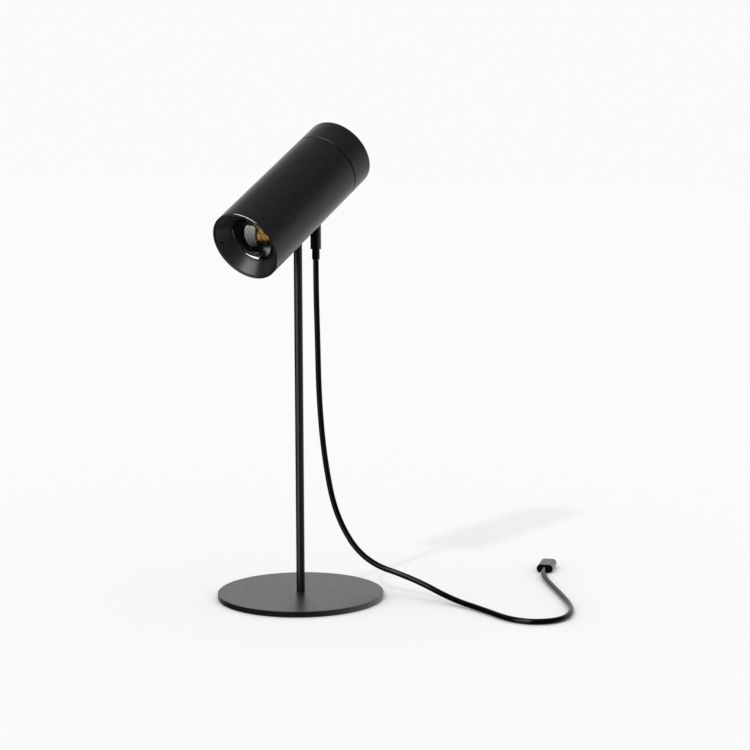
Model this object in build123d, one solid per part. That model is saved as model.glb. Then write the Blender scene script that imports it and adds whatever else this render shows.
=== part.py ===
from build123d import *
import math
import os

# Tabletop searchlight lamp: a drum-shaped LED head on a thin stem over a round base.
# Units are millimetres and degrees. +Z is up, the head points along -Y, and the origin is the
# centre of the foot, on the table. Head pieces are drawn level, about the tilt pivot: q runs
# forward along the head and r outward from its axis.

# Base
base_diameter = 120.0
base_thickness = 4.0
base_edge = 0.3
pad_diameter = 112.0
pad_thickness = 1.0
pad_recess = 0.75
pad_clearance = 0.2

# Stem
stem_diameter = 6.1
stem_seat_depth = 1.0
stem_clearance = 0.05
stem_screw_depth = 9.0
thread_relief = 1.0

# Tilt pivot
pivot_height = 277.0
axis_above_pivot = 12.0
rest_tilt = 29.35
highest_tilt = 0.0
lowest_tilt = 55.0
pin_diameter = 4.0
pin_clearance = 0.05

# Hinge block: a round head on the pivot, a leg clamped on the stem, an arm to the cable socket
block_width = 9.0
block_head_radius = 5.0
block_front = 6.0
block_depth_below_pivot = 15.0
stem_top_below_pivot = 4.5
arm_top = 3.5
arm_thickness = 10.0
arm_root_fillet = 3.0
washer_thickness = 0.45
washer_diameter = 9.0
washer_gap = 0.05

# Cable socket behind the stem, strain relief and inner lead
socket_offset = 21.0
socket_diameter = 7.8
socket_drop = 25.8
socket_thread = 6.0
socket_bore = 3.2
relief_diameter = 5.5
relief_drop = 33.5
relief_grip = 9.8
relief_edge = 0.5
relief_clearance = 0.05
lead_diameter = 2.8
lead_above_nut = 1.0
nut_height = 2.5
nut_across_flats = 8.0

# Head tube
tube_diameter = 52.8
tube_wall = 1.5
front_reach = 60.8
tube_rear = 41.6
tube_edge = 0.2
front_bevel_width = 1.2
front_bevel_depth = 0.6
slot_width = 10.4
slot_clearance = 0.6
ring_clearance = 0.05

# Front baffle: a cone inside the mouth, with two spanner holes
baffle_recess = 0.7
baffle_front_radius = 24.2
baffle_inner_radius = 17.5
baffle_depth = 9.2
baffle_wall = 1.2
spanner_hole = 1.7
spanner_hole_behind_rim = 2.7

# Lens, bezel and holder
bezel_radius = 17.2
bezel_face = 0.8
bezel_bevel = 0.8
bezel_length = 3.4
bezel_skirt_length = 1.8
bezel_front_behind_rim = 9.4
lens_radius = 17.5
lens_centre_behind_rim = 18.8
lens_rim = 1.0
lens_foot_diameter = 21.0
lens_foot_height = 1.8
lens_clearance = 0.1
holder_front_behind_rim = 10.9
ledge_width = 2.4
seal_width = 1.2
seal_section = 1.0

# Light source, under the pocket in the lens's foot
sink_flange_thickness = 6.0
board_diameter = 32.8
board_thickness = 1.6
board_screw_offset = 12.9
package_size = 12.4
package_thickness = 0.6
phosphor_size = 11.0
phosphor_thickness = 0.2

# Heat sink
sink_radius = 24.7
sink_underside = 8.0
sink_web = 4.0
sink_rear = 20.0
sink_rear_plate = 3.0
fin_count = 10
fin_pitch = 4.4
fin_thickness = 1.8
fin_tip_clearance = 0.8
led_lead_diameter = 2.0
led_lead_height = 8.0
led_lead_clearance = 0.3

# Hinge yoke
yoke_plate = 2.5
yoke_plate_width = 18.0
yoke_plate_length = 29.0
ear_thickness = 3.0
ear_radius = 5.0
yoke_screw_x = 5.5
yoke_screw_q = 10.8
pivot_head_diameter = 7.0
pivot_head_height = 2.4
spring_washer_thickness = 0.8

# Rear bulkhead and dimmer
bulkhead_front = 37.0
bulkhead_thickness = 4.0
hub_radius = 19.0
hub_wall = 7.0
hub_length = 11.0
bearing_wall = 2.0
bearing_length = 8.0
bearing_gap = 1.6
bearing_rear_gap = 1.0
bearing_clearance = 0.02
cap_gap = 0.8
cap_length = 20.8
cap_edge = 0.6
cap_groove_edge = 0.3
cap_end_wall = 3.0
cap_skirt_wall = 3.4
cap_hub_radius = 7.0
cap_hub_length = 11.0
cap_grub_behind_bulkhead = 15.0
shaft_diameter = 6.0
shaft_clearance = 0.05
pot_diameter = 16.5
pot_length = 7.9
pot_bush_diameter = 7.0
pot_bush_length = 8.0
pot_pin_length = 0.6
pot_pin_diameter = 1.0
pot_pin_pitch = 3.0
pot_nut_across_flats = 10.0
tie_radius = 21.9
tie_diameter = 4.4
tie_angles = (35.0, 90.0, 145.0)
driver_radius = 19.2
driver_cut = 2.0
coil_diameter = 9.2
coil_bore = 3.2
coil_height = 4.4
coil_place = (-9.0, 6.0)
chip_size = (5.0, 4.0, 1.5)
chip_place = (0.0, 2.5)
capacitor_diameter = 5.2
capacitor_height = 4.8
capacitor_places = ((8.5, 3.5), (10.0, 9.6))

# Screws, all M3 but for the small ones on the board, and how far a cutting tool overshoots
overshoot = 1.0
screw_diameter = 3.0
screw_clearance = 0.05
countersink_diameter = 5.6
countersink_depth = 1.5
tie_screw_length = 9.0
grub_length = 2.8
tube_grub_length = 5.6
hex_recess = 2.0
hex_recess_depth = 1.0
board_screw_diameter = 2.0
board_screw_head = 3.6
board_screw_head_height = 1.2
board_screw_length = 4.0
tube_screw_angle = 20.0

# Plug
plug_width = 12.4
plug_height = 6.5
plug_length = 21.5
plug_edge = 0.5
plug_heading = 112.5
shell_width = 8.34
shell_height = 2.56
shell_length = 6.65
shell_wall = 0.3
shell_sunk = 3.0
insert_mouth_width = 6.7
insert_mouth_height = 0.8
insert_mouth_depth = 5.0
insert_clearance = 0.05

# Cord: from the strain relief down behind the stem, over the base and round to the plug
cord_diameter = 4.2
cord_share_of_run = 0.45
cord_floor = cord_diameter / 2
relief_bottom = pivot_height - relief_drop
cord_route = [
    (0.0, socket_offset, relief_bottom),
    (0.0, socket_offset, 221.6),
    (0.6, 21.5, 187.9),
    (1.1, 22.1, 142.1),
    (1.6, 27.4, 97.8),
    (7.6, 32.9, 54.5),
    (29.3, 37.4, 23.2),
    (66.6, 47.8, 13.2),
    (102.2, 44.1, 3.7),
    (135.1, 36.4, cord_floor),
    (160.9, 25.4, cord_floor),
    (179.2, 27.4, cord_floor),
    (191.0, 40.7, cord_floor),
    (190.7, 58.5, cord_floor),
    (180.2, 79.2, cord_floor),
    (154.9, 107.0, cord_floor),
    (125.3, 137.0, cord_floor),
    (111.4, 153.2, plug_height / 2),
    (106.5, 165.0, plug_height / 2),
]

# Worked out from the sizes above
pad_stand = pad_thickness - pad_recess
base_top = pad_stand + base_thickness
stem_bottom = base_top - stem_seat_depth
stem_top = pivot_height - stem_top_below_pivot
arm_underside = arm_top - arm_thickness
socket_shoulder = pivot_height + arm_underside
socket_bottom = pivot_height - socket_drop
socket_top = pivot_height + arm_top + nut_height
relief_top = socket_bottom + relief_grip
tapped_radius = screw_diameter / 2 + screw_clearance
pin_bore_radius = pin_diameter / 2 + pin_clearance
shaft_bore_radius = shaft_diameter / 2 + shaft_clearance
tube_radius = tube_diameter / 2
bore_radius = tube_radius - tube_wall
ring_radius = bore_radius - ring_clearance
lens_centre = front_reach - lens_centre_behind_rim
lens_back = lens_centre - lens_rim
lens_bore = lens_radius + lens_clearance
bezel_front = front_reach - bezel_front_behind_rim
holder_front = front_reach - holder_front_behind_rim
baffle_front = front_reach - baffle_recess
baffle_back = front_reach - baffle_depth
board_front = lens_back - lens_foot_height
package_front = board_front + package_thickness
sink_flange_front = board_front - board_thickness
sink_flange_back = sink_flange_front - sink_flange_thickness
bulkhead_rear = bulkhead_front + bulkhead_thickness
cap_front = tube_rear + cap_gap
cap_rear = cap_front + cap_length
ear_inside = block_width / 2 + washer_thickness + washer_gap
ear_outside = ear_inside + ear_thickness

centre_bottom = (Align.CENTER, Align.CENTER, Align.MIN)
head_plane = Plane(origin=(0, 0, axis_above_pivot), x_dir=(0, -1, 0), z_dir=(-1, 0, 0))
head_axis = Axis((0, 0, axis_above_pivot), (0, -1, 0))


def station(q):
    """Plane across the head at q: x to the right, y up, z forward, centred on the head's axis."""
    return Plane(origin=(0, -q, axis_above_pivot), x_dir=(1, 0, 0), z_dir=(0, -1, 0))


def turned(*points):
    """Solid of revolution about the head's axis from an outline of (q, r) points."""
    return revolve(head_plane * make_face(Polyline(*points, close=True)), head_axis)


def post(x, y, bottom, top, diameter):
    """Upright cylinder."""
    return Pos(x, y, bottom) * Cylinder(diameter / 2, top - bottom, align=centre_bottom)


def rod(q_from, q_to, diameter, x=0.0, height=0.0):
    """Cylinder along the head, off its axis by x and height."""
    cylinder = Cylinder(diameter / 2, q_to - q_from, align=centre_bottom)
    return station(q_from) * Pos(x, height, 0) * cylinder


def hex_socket():
    """Hexagon recess of a screw, opening at z = 0 and going down."""
    return extrude(RegularPolygon(hex_recess / 2, 6), -hex_recess_depth)


def countersunk_screw(length):
    """Countersunk screw with its flat top at z = 0, pointing down."""
    cone = Cone(screw_diameter / 2, countersink_diameter / 2, countersink_depth, align=centre_bottom)
    shank = Cylinder(screw_diameter / 2, length - countersink_depth, align=centre_bottom)
    return Pos(0, 0, -countersink_depth) * cone + Pos(0, 0, -length) * shank - hex_socket()


def countersunk_hole(length):
    """Tool for a countersunk screw's hole, with its mouth at z = 0, going down."""
    wide = countersink_diameter / 2 + screw_clearance
    cone = Cone(tapped_radius, wide, countersink_depth, align=centre_bottom)
    shank = Cylinder(tapped_radius, length - countersink_depth, align=centre_bottom)
    return Pos(0, 0, -countersink_depth) * cone + Pos(0, 0, -length) * shank


def grub_screw(length):
    """Headless screw with its top at z = 0, pointing down."""
    body = Pos(0, 0, -length) * Cylinder(screw_diameter / 2, length, align=centre_bottom)
    return body - hex_socket()


def in_head(shape):
    """Takes a piece drawn level about the pivot to its place in the tilted head."""
    return Pos(0, 0, pivot_height) * Rot(rest_tilt, 0, 0) * shape


def slot_reach(offset, outward):
    """How far along the wall an upright piece at this offset from the pivot reaches in the slot."""
    reaches = []
    for radius in (bore_radius, tube_radius):
        for tilt in (highest_tilt, lowest_tilt):
            lean = math.radians(tilt)
            below = (radius - axis_above_pivot) * math.sin(lean)
            reaches.append((offset + outward * below) / math.cos(lean))
    return max(reaches) + slot_clearance


slot_front = slot_reach(stem_diameter / 2, 1)
slot_rear = slot_reach(socket_offset + socket_diameter / 2, -1)


# Base and stem

def base_plate():
    disc = Pos(0, 0, pad_stand) * Cylinder(base_diameter / 2, base_thickness, align=centre_bottom)
    disc = chamfer(disc.edges().filter_by(GeomType.CIRCLE), base_edge)
    recess = post(0, 0, pad_stand, pad_thickness, pad_diameter + 2 * pad_clearance)
    seat = post(0, 0, stem_bottom, base_top, stem_diameter + 2 * stem_clearance)
    hole = Pos(0, 0, pad_thickness) * Rot(180, 0, 0) * countersunk_hole(base_thickness)
    return disc - recess - seat - hole


def base_pad():
    return post(0, 0, 0, pad_thickness, pad_diameter)


def stem_screw():
    return Pos(0, 0, pad_thickness) * Rot(180, 0, 0) * countersunk_screw(stem_screw_depth)


def stem():
    bar = post(0, 0, stem_bottom, stem_top, stem_diameter)
    thread_top = pad_thickness + stem_screw_depth + thread_relief
    return bar - post(0, 0, stem_bottom, thread_top, 2 * tapped_radius)


# Hinge on the stem

def hinge_block():
    low = -block_depth_below_pivot
    face = Plane(origin=(-block_width / 2, 0, pivot_height), x_dir=(0, 1, 0), z_dir=(1, 0, 0))
    leg_middle = (block_head_radius - block_front) / 2
    leg = Pos(leg_middle, low / 2) * Rectangle(block_front + block_head_radius, -low)
    neck = Pos(-block_front / 2, -block_head_radius / 2) * Rectangle(block_front, block_head_radius)
    arm_middle = (arm_top + arm_underside) / 2
    arm = Pos(socket_offset / 2, arm_middle) * Rectangle(socket_offset, arm_thickness)
    outline = Circle(block_head_radius) + leg + neck + arm
    body = extrude(face * outline, block_width)
    body += post(0, socket_offset, socket_shoulder, pivot_height + arm_top, block_width)
    root = body.edges().filter_by(Axis.X).sort_by_distance((0, block_head_radius, socket_shoulder))[0]
    body = fillet(root, arm_root_fillet)
    body -= post(0, 0, pivot_height + low, stem_top + stem_clearance, stem_diameter + 2 * stem_clearance)
    body -= post(0, socket_offset, socket_shoulder, socket_top, socket_thread + 2 * screw_clearance)
    body -= Pos(0, 0, pivot_height) * Rot(0, 90, 0) * Cylinder(pin_bore_radius, block_width)
    for height in grub_heights():
        tapped = Cylinder(tapped_radius, block_front, align=centre_bottom)
        body -= Pos(0, -block_front, height) * Rot(-90, 0, 0) * tapped
    return body


def grub_heights():
    """Heights of the two screws that clamp the stem in the block."""
    low = pivot_height - block_depth_below_pivot
    return (low + screw_diameter, stem_top - screw_diameter)


def stem_grub_screws():
    screw = Rot(90, 0, 0) * grub_screw(grub_length)
    return [Pos(0, -block_front, height) * screw for height in grub_heights()]


def friction_washers():
    ring = Cylinder(washer_diameter / 2, washer_thickness) - Cylinder(pin_bore_radius, washer_thickness)
    reach = (block_width + washer_thickness) / 2
    return [Pos(side * reach, 0, pivot_height) * Rot(0, 90, 0) * ring for side in (-1, 1)]


# Cable socket

def cable_socket():
    body = post(0, socket_offset, socket_bottom, socket_shoulder, socket_diameter)
    body += post(0, socket_offset, socket_shoulder, socket_top, socket_thread)
    body -= post(0, socket_offset, socket_bottom, relief_top, relief_diameter + 2 * relief_clearance)
    return body - post(0, socket_offset, socket_bottom, socket_top, socket_bore)


def socket_nut():
    blank = extrude(RegularPolygon(nut_across_flats / 2, 6, major_radius=False), nut_height)
    nut = blank - Cylinder(socket_thread / 2 + screw_clearance, nut_height, align=centre_bottom)
    return Pos(0, socket_offset, pivot_height + arm_top) * nut


def strain_relief():
    sleeve = post(0, socket_offset, relief_bottom, relief_top, relief_diameter)
    return chamfer(sleeve.edges().sort_by(Axis.Z)[0], relief_edge)


def supply_lead():
    return post(0, socket_offset, relief_top, socket_top + lead_above_nut, lead_diameter)


# Head tube and front

def head_tube():
    front = front_reach
    tube = turned(
        (-tube_rear, bore_radius),
        (-tube_rear, tube_radius - tube_edge),
        (-tube_rear + tube_edge, tube_radius),
        (front - tube_edge, tube_radius),
        (front, tube_radius - tube_edge),
        (front, bore_radius + front_bevel_width),
        (front - front_bevel_depth, bore_radius),
    )
    middle = (slot_front - slot_rear) / 2
    slot = extrude(SlotOverall(slot_front + slot_rear, slot_width, rotation=90), -tube_diameter)
    tube -= Pos(0, -middle, 0) * slot
    for place in tube_screw_places():
        tube -= place * Cylinder(tapped_radius, 2 * tube_wall + overshoot)
    return tube


def tube_screw_places():
    """Places of the tube's grub screws: on the surface of its underside, z pointing outward."""
    q = (sink_flange_front + sink_flange_back) / 2
    return [
        station(q).location * Rot(0, 0, side * tube_screw_angle) * Pos(0, -tube_radius, 0) * Rot(90, 0, 0)
        for side in (-1, 1)
    ]


def tube_grub_screws():
    sunk = Pos(0, 0, -tube_edge)
    return [place * sunk * grub_screw(tube_grub_length) for place in tube_screw_places()]


def front_baffle():
    foot = front_reach - holder_front_behind_rim
    lip = baffle_inner_radius
    body = turned(
        (baffle_front, ring_radius),
        (baffle_front, baffle_front_radius),
        (baffle_back, lip),
        (foot, lip),
        (foot, lip + baffle_wall),
        (baffle_back - baffle_wall / 2, lip + baffle_wall),
        (baffle_front - 2 * baffle_wall, ring_radius - baffle_wall),
        (foot, ring_radius - baffle_wall),
        (foot, ring_radius),
    )
    q = front_reach - spanner_hole_behind_rim
    share = (baffle_front - q) / (baffle_front - baffle_back)
    radius = baffle_front_radius - share * (baffle_front_radius - baffle_inner_radius)
    for side in (-1, 1):
        body -= rod(q - baffle_wall, q + baffle_wall, spanner_hole, x=side * radius)
    return body


def lens_bezel():
    back = bezel_front - bezel_length
    shoulder = back + bezel_skirt_length
    skirt = lens_bore - ring_clearance
    face = bezel_radius - bezel_face
    ring = turned(
        (bezel_front - bezel_bevel, face - bezel_bevel),
        (bezel_front, face),
        (bezel_front, bezel_radius),
        (shoulder, bezel_radius),
        (shoulder, skirt),
        (back, skirt),
        (back, face - bezel_bevel),
    )
    return ring - station(lens_centre) * Sphere(lens_bore)


def lens():
    dome = Sphere(lens_radius) & Cylinder(lens_radius, lens_radius, align=centre_bottom)
    body = station(lens_centre) * dome
    body += rod(lens_back, lens_centre, 2 * lens_radius)
    body += rod(board_front, lens_back, lens_foot_diameter)
    width = package_size + 2 * lens_clearance
    depth = package_thickness + phosphor_thickness + lens_clearance
    return body - station(board_front) * Box(width, width, depth, align=centre_bottom)


def lens_seal():
    inner = lens_radius - seal_width
    back = lens_back - seal_section
    return turned((back, inner), (back, lens_radius), (lens_back, lens_radius), (lens_back, inner))


def lens_holder():
    board_bore = board_diameter / 2 + lens_clearance
    ledge_radius = lens_bore - ledge_width
    ledge_back = board_front + lens_clearance
    ledge_front = lens_back - seal_section
    return turned(
        (sink_flange_front, board_bore),
        (ledge_back, board_bore),
        (ledge_back, ledge_radius),
        (ledge_front, ledge_radius),
        (ledge_front, lens_bore),
        (holder_front, lens_bore),
        (holder_front, ring_radius),
        (sink_flange_front, ring_radius),
    )


# Light source

def led_board():
    board = rod(sink_flange_front, board_front, board_diameter)
    for side in (-1, 1):
        hole = board_screw_diameter + 2 * screw_clearance
        board -= rod(sink_flange_front, board_front, hole, x=side * board_screw_offset)
    return board


def led_board_screws():
    screws = []
    for side in (-1, 1):
        x = side * board_screw_offset
        shank = rod(board_front - board_screw_length, board_front, board_screw_diameter, x=x)
        head = rod(board_front, board_front + board_screw_head_height, board_screw_head, x=x)
        screws.append(shank + head)
    return screws


def led_package():
    return station(board_front) * Box(package_size, package_size, package_thickness, align=centre_bottom)


def led_phosphor():
    slab = Box(phosphor_size, phosphor_size, phosphor_thickness, align=centre_bottom)
    return station(package_front) * slab


def half_round(length, radius):
    """Bar of the heat sink's outline: a disc cut flat along the underside."""
    height = sink_underside - axis_above_pivot
    bar = Cylinder(radius, length, align=centre_bottom)
    above = Box(2 * radius, 2 * radius, length, align=(Align.CENTER, Align.MIN, Align.MIN))
    return bar & Pos(0, height, 0) * above


def heat_sink():
    length = sink_flange_back + sink_rear
    body = rod(sink_flange_back, sink_flange_front, 2 * sink_radius)
    rear = station(-sink_rear)
    body += rear * half_round(sink_rear_plate, sink_radius)
    height = sink_underside - axis_above_pivot
    web_block = Box(2 * sink_radius, sink_web, length, align=(Align.CENTER, Align.MIN, Align.MIN))
    body += rear * (half_round(length, sink_radius) & Pos(0, height, 0) * web_block)
    finned = half_round(length, sink_radius - fin_tip_clearance)
    for index in range(fin_count):
        x = (index - (fin_count - 1) / 2) * fin_pitch
        fin = Box(fin_thickness, 2 * sink_radius, length, align=(Align.CENTER, Align.CENTER, Align.MIN))
        body += rear * (finned & Pos(x, 0, 0) * fin)
    lead_hole = led_lead_diameter + 2 * led_lead_clearance
    body -= rod(-sink_rear, sink_flange_front, lead_hole, height=led_lead_height)
    for x, q in yoke_screw_places():
        tapped = Cylinder(tapped_radius, sink_web, align=centre_bottom)
        body -= Pos(x, -q, sink_underside) * tapped
    for angle in tie_angles:
        body -= tie_bore(angle, -sink_rear, -sink_rear + sink_rear_plate + thread_relief)
    for side in (-1, 1):
        hole = board_screw_diameter + 2 * screw_clearance
        body -= rod(sink_flange_back, sink_flange_front, hole, x=side * board_screw_offset)
    for place in tube_screw_places():
        body -= place * Cylinder(tapped_radius, 2 * (tube_grub_length + thread_relief))
    return body


def tie_bore(angle, q_from, q_to):
    """Hole for the thread of a tie rod or its screw."""
    x = tie_radius * math.cos(math.radians(angle))
    height = tie_radius * math.sin(math.radians(angle))
    return rod(q_from, q_to, 2 * tapped_radius, x=x, height=height)


def led_lead():
    return rod(-driver_front(), sink_flange_front, led_lead_diameter, height=led_lead_height)


# Hinge yoke under the heat sink

def yoke_screw_places():
    return [(sx * yoke_screw_x, sq * yoke_screw_q) for sx in (-1, 1) for sq in (-1, 1)]


def hinge_yoke():
    top = sink_underside
    body = Pos(0, 0, top - yoke_plate / 2) * Box(yoke_plate_width, yoke_plate_length, yoke_plate)
    for side in (-1, 1):
        middle = side * (ear_inside + ear_thickness / 2)
        cheek = Pos(middle, 0, 0) * Box(ear_thickness, 2 * ear_radius, top, align=centre_bottom)
        eye = Pos(middle, 0, 0) * Rot(0, 90, 0) * Cylinder(ear_radius, ear_thickness)
        body += cheek + eye
    body -= Rot(0, 90, 0) * Cylinder(pin_bore_radius, 2 * ear_outside + overshoot)
    for x, q in yoke_screw_places():
        body -= Pos(x, -q, top - yoke_plate) * Rot(180, 0, 0) * countersunk_hole(yoke_plate)
    return body


def yoke_screws():
    length = yoke_plate + sink_web - thread_relief
    return [
        Pos(x, -q, sink_underside - yoke_plate) * Rot(180, 0, 0) * countersunk_screw(length)
        for x, q in yoke_screw_places()
    ]


def pivot_screw():
    shank_end = -ear_outside - spring_washer_thickness - nut_height
    shank = Cylinder(pin_diameter / 2, ear_outside - shank_end, align=centre_bottom)
    head = Cylinder(pivot_head_diameter / 2, pivot_head_height, align=centre_bottom)
    screw = Pos(0, 0, shank_end) * shank + Pos(0, 0, ear_outside) * head
    screw -= Pos(0, 0, ear_outside + pivot_head_height) * hex_socket()
    return Rot(0, 90, 0) * screw


def spring_washer():
    ring = Cylinder(pivot_head_diameter / 2, spring_washer_thickness)
    ring -= Cylinder(pin_bore_radius, spring_washer_thickness)
    return Pos(-ear_outside - spring_washer_thickness / 2, 0, 0) * Rot(0, 90, 0) * ring


def pivot_nut():
    nut = extrude(RegularPolygon(pivot_head_diameter / 2, 6, major_radius=False), nut_height)
    nut -= Cylinder(pin_bore_radius, nut_height, align=centre_bottom)
    return Pos(-ear_outside - spring_washer_thickness, 0, 0) * Rot(0, -90, 0) * nut


# Rear bulkhead, driver and dimmer

def rear_bulkhead():
    hub_rear = bulkhead_rear + hub_length
    body = turned(
        (-bulkhead_front, 0),
        (-bulkhead_front, ring_radius),
        (-bulkhead_rear, ring_radius),
        (-bulkhead_rear, hub_radius),
        (-hub_rear, hub_radius),
        (-hub_rear, hub_radius - hub_wall),
        (-bulkhead_rear, hub_radius - hub_wall),
        (-bulkhead_rear, 0),
    )
    body -= rod(-bulkhead_rear, -bulkhead_front, pot_bush_diameter + 2 * shaft_clearance)
    for angle in tie_angles:
        body -= tie_station(angle, -bulkhead_rear) * countersunk_hole(bulkhead_thickness)
    return body


def tie_station(angle, q):
    """Place of a tie rod's end at q, z pointing to the rear."""
    x = tie_radius * math.cos(math.radians(angle))
    height = tie_radius * math.sin(math.radians(angle))
    return station(q).location * Pos(x, height, 0) * Rot(180, 0, 0)


def tie_rods():
    rods = []
    for angle in tie_angles:
        x = tie_radius * math.cos(math.radians(angle))
        height = tie_radius * math.sin(math.radians(angle))
        bar = rod(-bulkhead_front, -sink_rear, tie_diameter, x=x, height=height)
        bar += rod(-sink_rear, -sink_rear + sink_rear_plate, screw_diameter, x=x, height=height)
        bar -= tie_bore(angle, -bulkhead_front, -bulkhead_front + tie_screw_length)
        rods.append(bar)
    return rods


def tie_screws():
    return [tie_station(angle, -bulkhead_rear) * countersunk_screw(tie_screw_length) for angle in tie_angles]


def driver_front():
    """How far the driver board's front face stands behind the pivot."""
    return bulkhead_front - pot_length - pot_pin_length - board_thickness


def driver_board():
    disc = Cylinder(driver_radius, board_thickness, align=centre_bottom)
    side = 2 * driver_radius
    keep = Box(side, side, board_thickness, align=(Align.CENTER, Align.MIN, Align.MIN))
    return station(-driver_front() - board_thickness) * (disc & Pos(0, -driver_cut, 0) * keep)


def driver_components():
    coil = Cylinder(coil_diameter / 2, coil_height, align=centre_bottom)
    coil -= Cylinder(coil_bore / 2, coil_height, align=centre_bottom)
    chip = Box(*chip_size, align=centre_bottom)
    pieces = [Pos(*coil_place) * coil, Pos(*chip_place) * chip]
    for place in capacitor_places:
        pieces.append(Pos(*place) * Cylinder(capacitor_diameter / 2, capacitor_height, align=centre_bottom))
    return [station(-driver_front()) * piece for piece in pieces]


def potentiometer():
    back = -bulkhead_front
    body = rod(back, back + pot_length, pot_diameter)
    body += rod(back - pot_bush_length, back, pot_bush_diameter)
    body -= rod(back - pot_bush_length, back + pot_length / 2, 2 * shaft_bore_radius)
    front = back + pot_length
    for step in (-1, 0, 1):
        x = step * pot_pin_pitch
        body += rod(front, front + pot_pin_length, pot_pin_diameter, x=x, height=pot_pin_pitch)
    return body


def potentiometer_nut():
    nut = extrude(RegularPolygon(pot_nut_across_flats / 2, 6, major_radius=False), nut_height)
    nut -= Cylinder(pot_bush_diameter / 2 + screw_clearance, nut_height, align=centre_bottom)
    return station(-bulkhead_rear - nut_height) * nut


def bearing_ring():
    outer = hub_radius + bearing_wall
    front = -bulkhead_rear - bearing_gap
    rear = front - bearing_length
    bore = hub_radius + bearing_clearance
    return turned((rear, bore), (rear, outer), (front, outer), (front, bore))


def cap_grub_place():
    """Place of the cap's grub screw: on the hub's underside, z pointing outward."""
    q = -bulkhead_rear - cap_grub_behind_bulkhead
    return station(q).location * Pos(0, -cap_hub_radius, 0) * Rot(90, 0, 0)


def dimmer_cap():
    bearing_bore = hub_radius + bearing_wall + shaft_clearance
    skirt_bore = tube_radius - cap_skirt_wall
    bearing_end = bulkhead_rear + bearing_gap + bearing_length + bearing_rear_gap
    inner_end = cap_rear - cap_end_wall
    hub_front = inner_end - cap_hub_length
    body = turned(
        (-cap_front, bearing_bore),
        (-cap_front, tube_radius - cap_groove_edge),
        (-cap_front - cap_groove_edge, tube_radius),
        (-cap_rear + cap_edge, tube_radius),
        (-cap_rear, tube_radius - cap_edge),
        (-cap_rear, 0),
        (-inner_end, 0),
        (-inner_end, shaft_bore_radius),
        (-hub_front, shaft_bore_radius),
        (-hub_front, cap_hub_radius),
        (-inner_end, cap_hub_radius),
        (-inner_end, skirt_bore),
        (-bearing_end, skirt_bore),
        (-bearing_end, bearing_bore),
    )
    tapped = Cylinder(tapped_radius, tube_radius - shaft_bore_radius + overshoot, align=centre_bottom)
    return body - cap_grub_place() * Pos(0, 0, shaft_bore_radius - cap_hub_radius) * tapped


def dimmer_shaft():
    return rod(cap_end_wall - cap_rear, -bulkhead_front, shaft_diameter)


def cap_grub_screw():
    return cap_grub_place() * grub_screw(cap_hub_radius - shaft_bore_radius)


# Cord and plug

def cord_radii():
    """Largest tangent arc at each corner of the route."""
    points = [Vector(point) for point in cord_route]
    radii = []
    for before, corner, after in zip(points, points[1:], points[2:]):
        turn = math.radians((corner - before).get_angle(after - corner))
        run = min((corner - before).length, (after - corner).length)
        radii.append(cord_share_of_run * run / math.tan(turn / 2))
    return radii


def cord():
    path = FilletPolyline(*cord_route, radius=cord_radii())
    section = Plane(origin=path @ 0, z_dir=path % 0) * Circle(cord_diameter / 2)
    tube = sweep(section, path=path)
    ideal = math.pi * (cord_diameter / 2) ** 2 * path.length
    print("cord length", round(path.length, 1), "volume", round(tube.volume, 1), "ideal", round(ideal, 1))
    print("cord radii", [round(radius, 1) for radius in cord_radii()])
    return tube


def at_plug(shape):
    """Takes a piece drawn with the plug's entry at the origin, pointing along +X, to its place."""
    return Pos(*cord_route[-1]) * Rot(0, 0, plug_heading) * shape


def plug_bar(length, width, height, start=0.0):
    """Bar of rounded section along the plug."""
    plane = Plane(origin=(start, 0, 0), x_dir=(0, 1, 0), z_dir=(1, 0, 0))
    return extrude(plane * SlotOverall(width, height), length)


def plug_overmould():
    body = plug_bar(plug_length, plug_width, plug_height)
    ends = body.edges().group_by(Axis.X)[0] + body.edges().group_by(Axis.X)[-1]
    body = fillet(ends, plug_edge)
    return at_plug(body - plug_bar(shell_sunk, shell_width, shell_height, plug_length - shell_sunk))


def plug_shell():
    start = plug_length - shell_sunk
    length = shell_length + shell_sunk
    width = shell_width - 2 * shell_wall
    height = shell_height - 2 * shell_wall
    outside = plug_bar(length, shell_width, shell_height, start)
    return at_plug(outside - plug_bar(length, width, height, start))


def plug_insert():
    start = plug_length - shell_sunk
    length = shell_length + shell_sunk - shell_wall
    gap = 2 * (shell_wall + insert_clearance)
    block = plug_bar(length, shell_width - gap, shell_height - gap, start)
    mouth_start = start + length - insert_mouth_depth
    mouth = plug_bar(insert_mouth_depth, insert_mouth_width, insert_mouth_height, mouth_start)
    return at_plug(block - mouth)


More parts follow.
